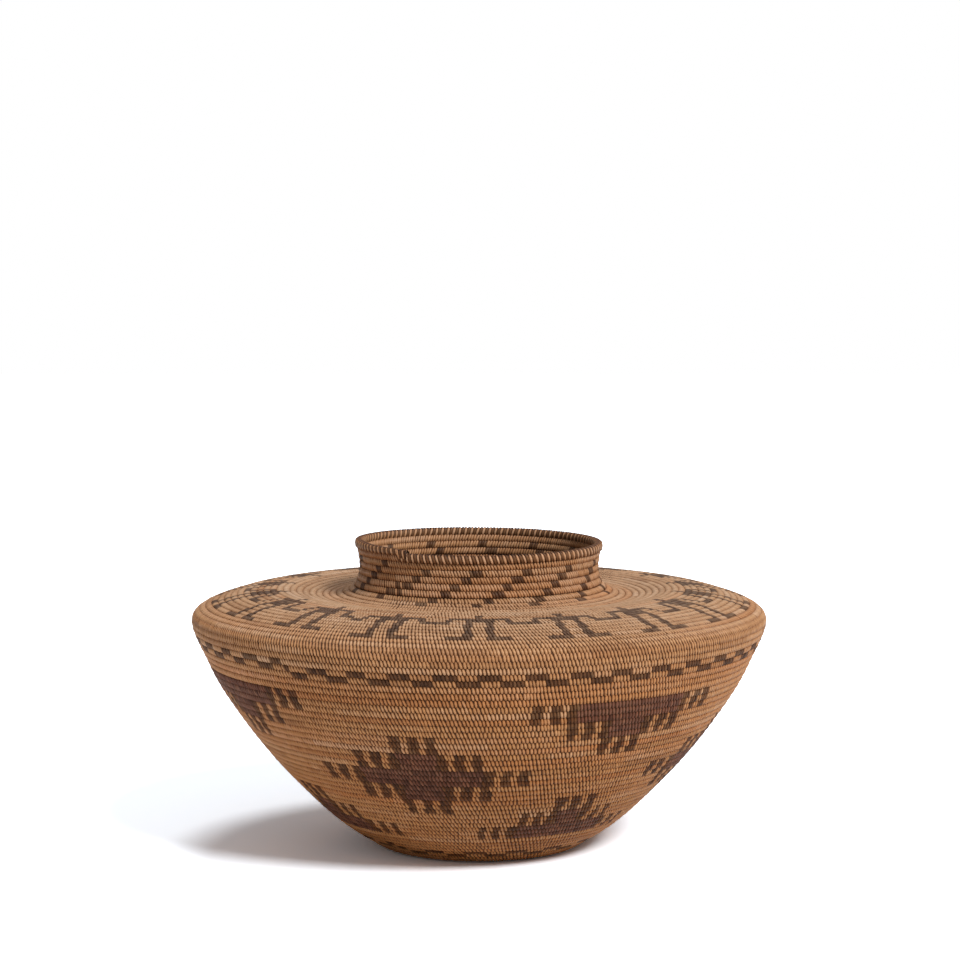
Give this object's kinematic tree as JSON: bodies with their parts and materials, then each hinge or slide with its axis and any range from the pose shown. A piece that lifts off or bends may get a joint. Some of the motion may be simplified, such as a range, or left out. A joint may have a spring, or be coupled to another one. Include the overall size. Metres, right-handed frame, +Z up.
{
  "type": "coiled bottleneck basket",
  "caption": "Coiled basket with a flat base, flaring wall, broad flat shoulder and short neck, sewn with dark stepped motifs and a ticked rim.",
  "frame": {"origin": "middle of the flat base, on the surface that it stands on", "axes": "+Z up along the axis of the coil, -Y towards the viewer of the picture"},
  "size_m": [0.3055, 0.3055, 0.1638],
  "materials": {
    "grass": "matte dried grass",
    "sedge": "satin split root",
    "bracken": "matte dyed root",
    "redbud": "satin split bark"
  },
  "bodies": {
    "root": {"start_knot": "grass", "foundation_base": "grass", "foundation_heel": "grass", "foundation_lower_wall": "grass", "foundation_upper_wall": "grass", "foundation_bulge": "grass", "foundation_outer_shoulder": "grass", "foundation_inner_shoulder": "grass", "sewing_base": "sedge", "sewing_heel": "sedge", "sewing_wall": "sedge", "sewing_bulge": "sedge", "sewing_outer_shoulder": "sedge", "sewing_inner_shoulder": "sedge", "neck_coil": "sedge", "base_dash_courses": "bracken", "wall_dash_courses": "bracken", "figure_chain": "bracken", "rim_coil": "bracken", "lower_motif_1": "redbud", "lower_motif_2": "redbud", "lower_motif_3": "redbud", "lower_motif_4": "redbud", "middle_motif_1": "redbud", "middle_motif_2": "redbud", "middle_motif_3": "redbud", "middle_motif_4": "redbud", "upper_motif_1": "redbud", "upper_motif_2": "redbud", "upper_motif_3": "redbud", "upper_motif_4": "redbud"}
  },
  "joints": []
}
